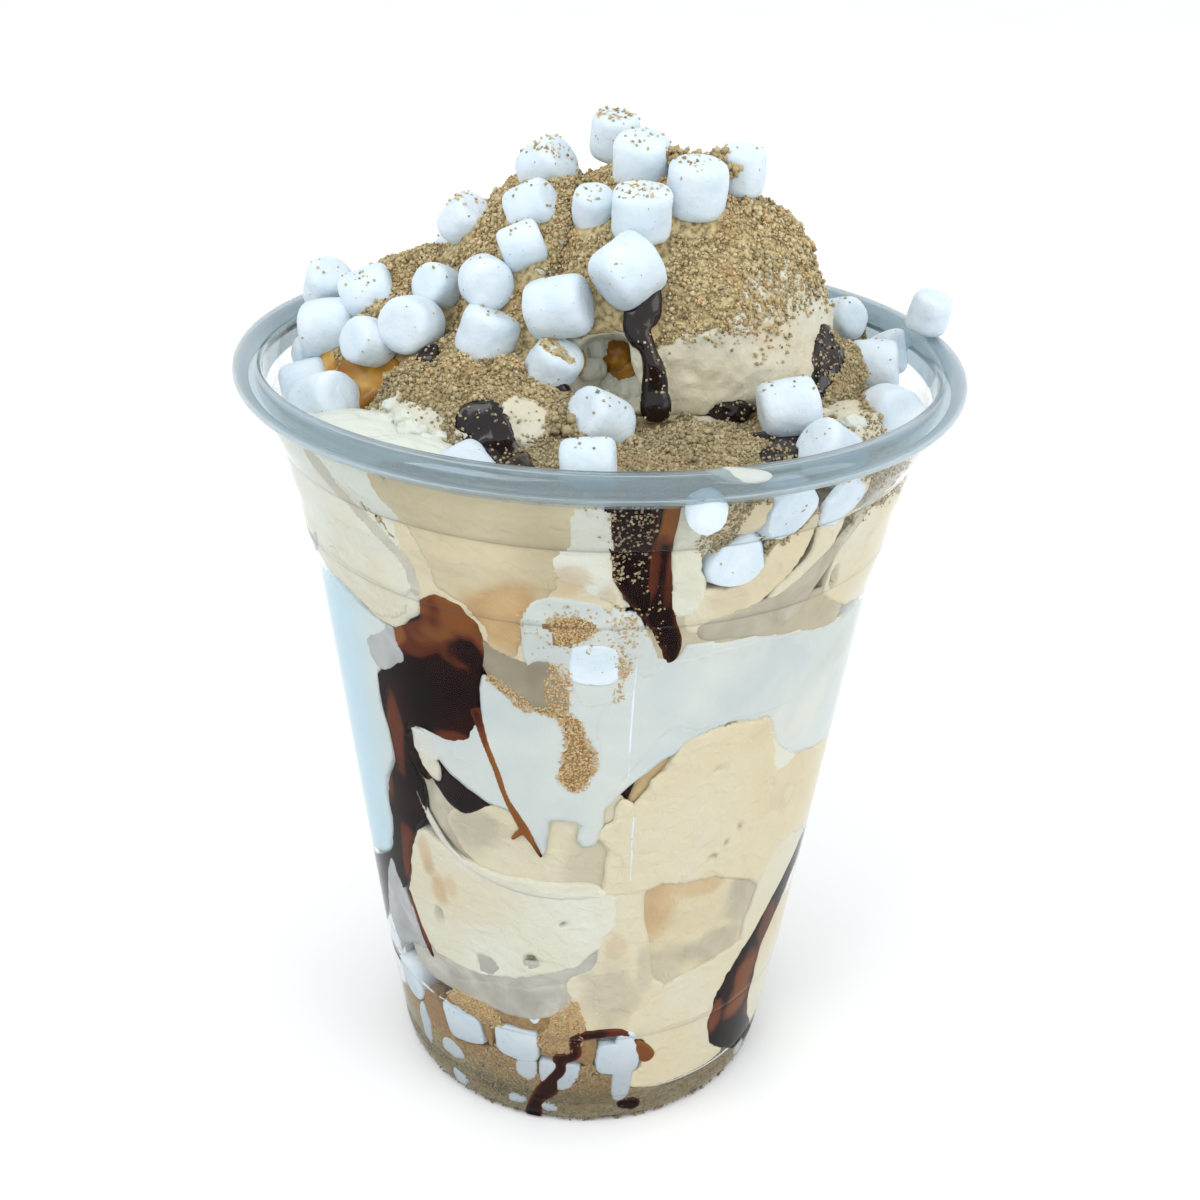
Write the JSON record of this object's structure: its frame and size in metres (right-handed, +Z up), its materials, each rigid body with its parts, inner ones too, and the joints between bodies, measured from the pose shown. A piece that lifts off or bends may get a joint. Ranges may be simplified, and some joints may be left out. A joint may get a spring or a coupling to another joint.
{
  "type": "ice cream sundae cup",
  "caption": "Clear tapered cup with a rolled rim, filled and heaped with layered ice cream, marshmallow cream, chocolate sauce, biscuit crumbs and mini marshmallows.",
  "frame": {"origin": "middle of the cup's foot, on the surface that it stands on", "axes": "+Z up along the cup's axis; -Y is the side that the picture shows, +X its right"},
  "size_m": [0.098, 0.098, 0.1419],
  "materials": {
    "clear_cup": "clear thin plastic, glossy",
    "ice_cream": "soft, slightly melted",
    "marshmallow_cream": "smooth, wet against the wall",
    "chocolate_sauce": "wet gloss",
    "biscuit_crumbs": "dry crumb",
    "marshmallow": "soft, dusted"
  },
  "bodies": {
    "root": {"cup": "clear_cup", "marshmallow_01": "marshmallow", "marshmallow_02": "marshmallow", "marshmallow_03": "marshmallow", "marshmallow_04": "marshmallow", "marshmallow_05": "marshmallow", "marshmallow_06": "marshmallow", "marshmallow_07": "marshmallow", "marshmallow_08": "marshmallow", "marshmallow_09": "marshmallow", "marshmallow_10": "marshmallow", "marshmallow_11": "marshmallow", "marshmallow_12": "marshmallow", "marshmallow_13": "marshmallow", "marshmallow_14": "marshmallow", "marshmallow_15": "marshmallow", "marshmallow_16": "marshmallow", "marshmallow_17": "marshmallow", "marshmallow_18": "marshmallow", "marshmallow_19": "marshmallow", "marshmallow_20": "marshmallow", "marshmallow_21": "marshmallow", "marshmallow_22": "marshmallow", "marshmallow_23": "marshmallow", "marshmallow_24": "marshmallow", "marshmallow_25": "marshmallow", "marshmallow_26": "marshmallow", "marshmallow_27": "marshmallow", "marshmallow_28": "marshmallow", "marshmallow_29": "marshmallow", "marshmallow_30": "marshmallow", "marshmallow_31": "marshmallow", "marshmallow_32": "marshmallow", "marshmallow_33": "marshmallow", "marshmallow_34": "marshmallow", "marshmallow_35": "marshmallow", "marshmallow_36": "marshmallow", "marshmallow_37": "marshmallow", "marshmallow_38": "marshmallow", "marshmallow_39": "marshmallow", "marshmallow_40": "marshmallow", "marshmallow_41": "marshmallow", "marshmallow_42": "marshmallow", "marshmallow_43": "marshmallow", "sauce_left": "chocolate_sauce", "sauce_right": "chocolate_sauce", "sauce_front": "chocolate_sauce", "scoop_top": "ice_cream", "scoop_mound": "ice_cream", "scoop_upper_front": "ice_cream", "scoop_front_right": "ice_cream", "scoop_upper_left": "ice_cream", "scoop_upper_right": "ice_cream", "scoop_upper_back": "ice_cream", "scoop_middle_right": "ice_cream", "scoop_low_right": "ice_cream", "scoop_low_back": "ice_cream", "scoop_low_left": "ice_cream", "marshmallow_cream": "marshmallow_cream", "crumb_base": "biscuit_crumbs"}
  },
  "joints": []
}
